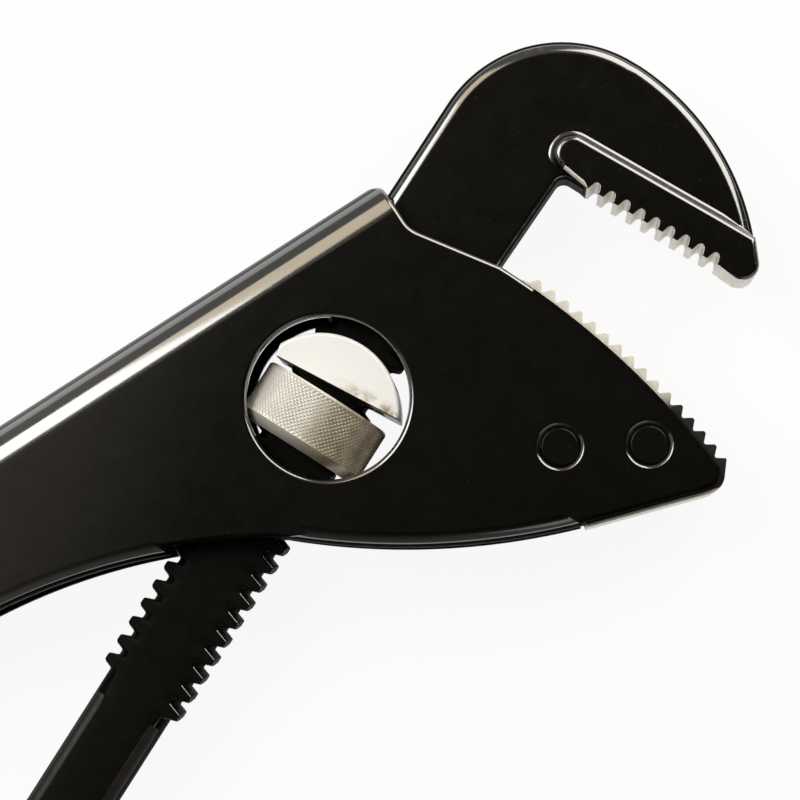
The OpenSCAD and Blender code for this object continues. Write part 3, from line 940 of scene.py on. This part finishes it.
def rubbed_paint():
    """The same paint rubbed brown and satin by the hand, along the lower handle's edges."""
    t = Tree("black_paint_rubbed_looks")
    dark, brown = (0.004, 0.0035, 0.0025), (0.012, 0.0095, 0.006)
    t.set("Base Color", t.ramp(t.noise(0.25, 4.0, 0.6), [(0.35, dark), (0.7, brown)]))
    t.set("Roughness", t.ramp(t.noise(0.6, 4.0, 0.6), [(0.3, 0.42), (0.7, 0.55)]))
    t.set("Normal", t.bump(t.noise(1.6, 3.0, 0.5), 0.15, 0.05))
    t.set("Specular IOR Level", 0.35)
    return t.material


def steel_tone(t):
    return t.ramp(t.noise(0.6, 5.0, 0.65), [(0.3, (0.8, 0.76, 0.67)), (0.5, (0.88, 0.85, 0.78)),
                                            (0.75, (0.95, 0.94, 0.9))])


def steel_grain(t):
    return t.bump(t.noise(2.2, 4.0, 0.6, (0.4, 0.3, 3.0, 1.0)), 0.2, 0.06)


def worn_steel():
    """Bare steel of the hook's teeth and nose."""
    t = Tree("worn_steel_looks")
    t.set("Base Color", steel_tone(t))
    t.set("Metallic", 0.4)
    t.set("Roughness", t.ramp(t.noise(1.1, 4.0, 0.6), [(0.3, 0.36), (0.7, 0.55)]))
    t.set("Normal", steel_grain(t))
    return t.material


def jaw_steel():
    """Bare steel of the fixed jaw, with the body's black paint left on its toe."""
    t = Tree("worn_steel_jaw_looks")
    below = polar((0, 0), 1, TOE_NORMAL)
    under = below[0] * TOE_START[0] + below[1] * TOE_START[1] + TOE_STEP
    low = t.along((0, -1, 0), 27.0, 31.0)
    inside = t.along((-below[0], -below[1], 0), -under + 0.3, -under + 0.6)
    toe = t.times(low, inside)
    t.set("Base Color", t.mix(toe, steel_tone(t), (0.006, 0.0055, 0.004)))
    t.set("Metallic", t.ramp(toe, [(0.3, 0.4), (0.7, 0.0)]))
    t.set("Roughness", t.ramp(t.noise(1.1, 4.0, 0.6), [(0.3, 0.36), (0.7, 0.52)]))
    t.set("Normal", steel_grain(t))
    return t.material


def knurled_steel():
    """Bright nut: a brown stain and painted shade on the knurl's side away from the light, dirt in the dips,
    a darker chamfer edge.
    """
    t = Tree("knurled_steel_looks")
    clean = t.ramp(t.noise(0.3, 4.0, 0.6), [(0.3, (0.88, 0.85, 0.78)), (0.65, (0.98, 0.97, 0.94))])
    stain_and_shade = t.ramp(t.noise(0.45, 4.0, 0.6), [(0.3, (0.3, 0.25, 0.17)), (0.7, (0.48, 0.43, 0.33))])
    across = (-math.sin(LEVER_TURN), math.cos(LEVER_TURN), 0)
    # Painted shade: the knurl's side away from the light takes the stain's brown, which also stands for a
    # real stain.
    tone = t.mix(t.along(across, -5.0, 5.0), stain_and_shade, clean)
    tone = t.mix(t.times(t.mark("dip"), 0.3), tone, (0.24, 0.19, 0.12))
    t.set("Base Color", tone)
    t.set("Metallic", 0.45)
    t.set("Roughness", t.ramp(t.noise(0.8, 3.0, 0.6), [(0.3, 0.3), (0.7, 0.42)]))
    t.set("Normal", t.bump(t.noise(5.0, 2.0, 0.6), 0.1, 0.03))
    return t.material


def polished_steel():
    """Bright saddle with a brown stain along the flat that bears on the nut, and painted shade on that
    flat's edge.
    """
    t = Tree("polished_steel_looks")
    lean = math.radians(LEVER_ANGLE + SADDLE_LEAN)
    toward_nut = (-math.cos(lean), -math.sin(lean), 0)
    near = t.along(toward_nut, -SADDLE_FLAT - 2.4, -SADDLE_FLAT - 0.3)
    far = t.along((math.sin(lean), -math.cos(lean), 0), -1.0, 3.5)
    spots = t.ramp(t.noise(0.55, 5.0, 0.65), [(0.4, 0.0), (0.62, 1.0)])
    stain = t.times(t.times(near, far), spots)
    tone = t.mix(stain, (0.96, 0.965, 0.965), (0.38, 0.29, 0.16))
    # Painted shade: a near black band on the flat's edge toward the nut stands for the shadowed gap between
    # saddle and nut.
    seat = t.along(toward_nut, -SADDLE_FLAT - 0.22, -SADDLE_FLAT - 0.12)
    tone = t.mix(seat, tone, (0.012, 0.01, 0.008))
    t.set("Base Color", tone)
    t.set("Metallic", 0.1)
    t.set("Roughness", t.ramp(t.noise(0.7, 4.0, 0.6, (0.44, 0.25, 3.0, 1.0)), [(0.3, 0.28), (0.7, 0.4)]))
    t.set("Normal", t.bump(t.noise(1.4, 3.0, 0.6, (0.44, 0.15, 4.0, 1.0)), 0.1, 0.03))
    return t.material


# Pieces

paint = black_paint()
dull = dull_paint()
face = face_paint()
rubbed = rubbed_paint()
steel = worn_steel()
knurl = knurled_steel()
bright = polished_steel()

body = finish_mesh("pressed_body_sheet", build_body(), "body", [paint, dull, face])
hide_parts("pressed_body")
hook = finish_mesh("hook_jaw_forging", build_hook(), "lever",
                   [paint, dull, face, rubbed, steel], place=lever_place)
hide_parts("hook_jaw")
nut = finish_mesh("adjusting_nut_knurled", build_nut(), "nut", [knurl], sharp=20,
                  place=lever_place)
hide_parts("adjusting_nut")


# Softened edges of CAD nodes: distance that welds points, turn that counts as flat, bevel's steps and turn
WELD_DISTANCE = 2e-6
FLAT_TURN = math.radians(2)
BEVEL_STEPS = 3
BEVEL_TURN = math.radians(28)


def dress(node, material, bevel):
    """Gives a CAD node its looks: merged flat faces, softened edges and a procedural material."""
    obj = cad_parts[node]
    obj.data.materials.clear()
    obj.data.materials.append(material)
    for polygon in obj.data.polygons:
        polygon.material_index = 0
    weld = obj.modifiers.new("weld", "WELD")
    weld.merge_threshold = WELD_DISTANCE
    flat = obj.modifiers.new("flat", "DECIMATE")
    flat.decimate_type = "DISSOLVE"
    flat.angle_limit = FLAT_TURN
    soft = obj.modifiers.new("edges", "BEVEL")
    soft.width = bevel * MM
    soft.segments = BEVEL_STEPS
    soft.limit_method = "ANGLE"
    soft.angle_limit = BEVEL_TURN
    weighted = obj.modifiers.new("normals", "WEIGHTED_NORMAL")
    weighted.keep_sharp = True


dress("rocker_saddle", bright, 0.3)
dress("fixed_jaw", jaw_steel(), 0.16)
dress("jaw_rivet_front", face, 0.12)
dress("jaw_rivet_rear", face, 0.12)


# Floor, light and camera

FLOOR_HALF = 1.6
# The nut reaches lowest, so the floor lies under it
FLOOR_Z = -NUT_R * MM
# Share of the floor's look that is plain white to the camera. The rest keeps the tool's shadow
FLOOR_WHITE = 0.92

# Camera in millimetres, set to the photo's view
CAMERA_EYE = (5.82, -47.22, 458.5)
CAMERA_TARGET = (9.416, -6.526, 8.5)
CAMERA_UP = (0.5388, 0.8425, 0)
CAMERA_LENS = 129.116
CAMERA_SENSOR = 36.0


def add_floor():
    mesh = bpy.data.meshes.new("floor")
    bm = bmesh.new()
    ends = ((-1, -1), (1, -1), (1, 1), (-1, 1))
    bm.faces.new([bm.verts.new((x * FLOOR_HALF, y * FLOOR_HALF, FLOOR_Z)) for x, y in ends])
    bm.to_mesh(mesh)
    bm.free()
    floor = bpy.data.objects.new("floor", mesh)
    bpy.context.scene.collection.objects.link(floor)
    material = bpy.data.materials.new("floor_white")
    material.use_nodes = True
    nodes, links = material.node_tree.nodes, material.node_tree.links
    matt = nodes["Principled BSDF"]
    matt.inputs["Base Color"].default_value = (0.86, 0.86, 0.85, 1)
    matt.inputs["Roughness"].default_value = 0.9
    matt.inputs["Specular IOR Level"].default_value = 0.1
    white = nodes.new("ShaderNodeEmission")
    white.inputs["Color"].default_value = (1, 1, 1, 1)
    white.inputs["Strength"].default_value = 1.0
    share = nodes.new("ShaderNodeMath")
    share.operation = "MULTIPLY"
    share.inputs[1].default_value = FLOOR_WHITE
    links.new(seen_directly(nodes, links), share.inputs[0])
    mix = nodes.new("ShaderNodeMixShader")
    links.new(share.outputs[0], mix.inputs[0])
    links.new(matt.outputs[0], mix.inputs[1])
    links.new(white.outputs[0], mix.inputs[2])
    links.new(mix.outputs[0], nodes["Material Output"].inputs["Surface"])
    mesh.materials.append(material)


def seen_directly(nodes, links):
    """1 for camera, glossy and transmitted rays."""
    path = nodes.new("ShaderNodeLightPath")
    total = path.outputs["Is Camera Ray"]
    for name in ("Is Glossy Ray", "Is Transmission Ray"):
        highest = nodes.new("ShaderNodeMath")
        highest.operation = "MAXIMUM"
        links.new(total, highest.inputs[0])
        links.new(path.outputs[name], highest.inputs[1])
        total = highest.outputs[0]
    return total


def add_world():
    """Studio that is pale behind the tool, dim in front of it, and dark overhead where the camera hangs."""
    world = bpy.data.worlds.new("studio")
    bpy.context.scene.world = world
    world.use_nodes = True
    nodes, links = world.node_tree.nodes, world.node_tree.links
    where = nodes.new("ShaderNodeTexCoord")
    dot = nodes.new("ShaderNodeVectorMath")
    dot.operation = "DOT_PRODUCT"
    dot.inputs[1].default_value = Vector((0.22, -0.16, 0.96)).normalized()
    links.new(where.outputs["Generated"], dot.inputs[0])
    patch = colour_ramp(nodes, links, dot.outputs["Value"], [
        (0.0, (0.3, 0.29, 0.27)), (0.77, (0.28, 0.265, 0.23)), (0.866, (0.19, 0.175, 0.14)),
        (0.905, (0.1, 0.092, 0.072)), (0.94, (0.02, 0.019, 0.015)), (1.0, (0.004, 0.004, 0.003))])
    back = nodes.new("ShaderNodeSeparateXYZ")
    links.new(where.outputs["Generated"], back.inputs[0])
    turn = nodes.new("ShaderNodeMapRange")
    turn.inputs["From Min"].default_value = -1.0
    links.new(back.outputs["Y"], turn.inputs["Value"])
    side = colour_ramp(nodes, links, turn.outputs["Result"], [
        (0.0, 0.6), (0.3, 0.1), (0.535, 0.1), (0.575, 1.0)])
    mix = nodes.new("ShaderNodeMix")
    mix.data_type = "RGBA"
    mix.blend_type = "MULTIPLY"
    mix.inputs[0].default_value = 1.0
    links.new(patch, mix.inputs[6])
    links.new(side, mix.inputs[7])
    links.new(mix.outputs[2], nodes["Background"].inputs["Color"])
    nodes["Background"].inputs["Strength"].default_value = 1.0


def softbox(name, at, size, radiance, colour, aim=(0, 0, 0), roll=0.0):
    """Rectangular lamp of an even radiance that faces a point, rolled about its own axis in degrees."""
    data = bpy.data.lights.new(name, "AREA")
    data.shape = "RECTANGLE"
    data.size, data.size_y = size
    data.energy = radiance * math.pi * size[0] * size[1]
    data.color = colour
    lamp = bpy.data.objects.new(name, data)
    bpy.context.scene.collection.objects.link(lamp)
    lamp.location = at
    facing = (Vector(aim) - Vector(at)).to_track_quat("-Z", "Y")
    lamp.rotation_euler = (facing @ Quaternion((0, 0, 1), math.radians(roll))).to_euler()


def add_camera():
    eye = Vector(CAMERA_EYE) * MM
    back = (eye - Vector(CAMERA_TARGET) * MM).normalized()
    right = Vector(CAMERA_UP).cross(back).normalized()
    up = back.cross(right)
    data = bpy.data.cameras.new("camera")
    data.sensor_width = CAMERA_SENSOR
    data.lens = CAMERA_LENS
    data.clip_start = 0.01
    camera = bpy.data.objects.new("camera", data)
    camera.matrix_world = Matrix((
        (right.x, up.x, back.x, eye.x), (right.y, up.y, back.y, eye.y), (right.z, up.z, back.z, eye.z),
        (0, 0, 0, 1)))
    bpy.context.scene.collection.objects.link(camera)
    bpy.context.scene.camera = camera


add_floor()
add_world()

# Each lamp's place and size in metres, its radiance and colour, the point it faces and its roll
softbox("back_softbox", (-0.24, 0.424, 0.557), (0.4, 0.42), 5.8, (1.0, 0.99, 0.945), (-0.24, 0, 0), 10)
softbox("warm_card", (0.04, 0.466, 0.522), (0.16, 0.42), 2.4, (1.0, 0.84, 0.62), (0.04, 0, 0), 10)
softbox("head_softbox", (0.512, 0.186, 0.354), (0.55, 0.45), 4.4, (1.0, 0.965, 0.89))
softbox("front_fill", (0.05, -0.5, 0.39), (0.5, 0.26), 0.5, (1.0, 0.98, 0.95))
add_camera()

bpy.context.scene.view_settings.view_transform = "Standard"
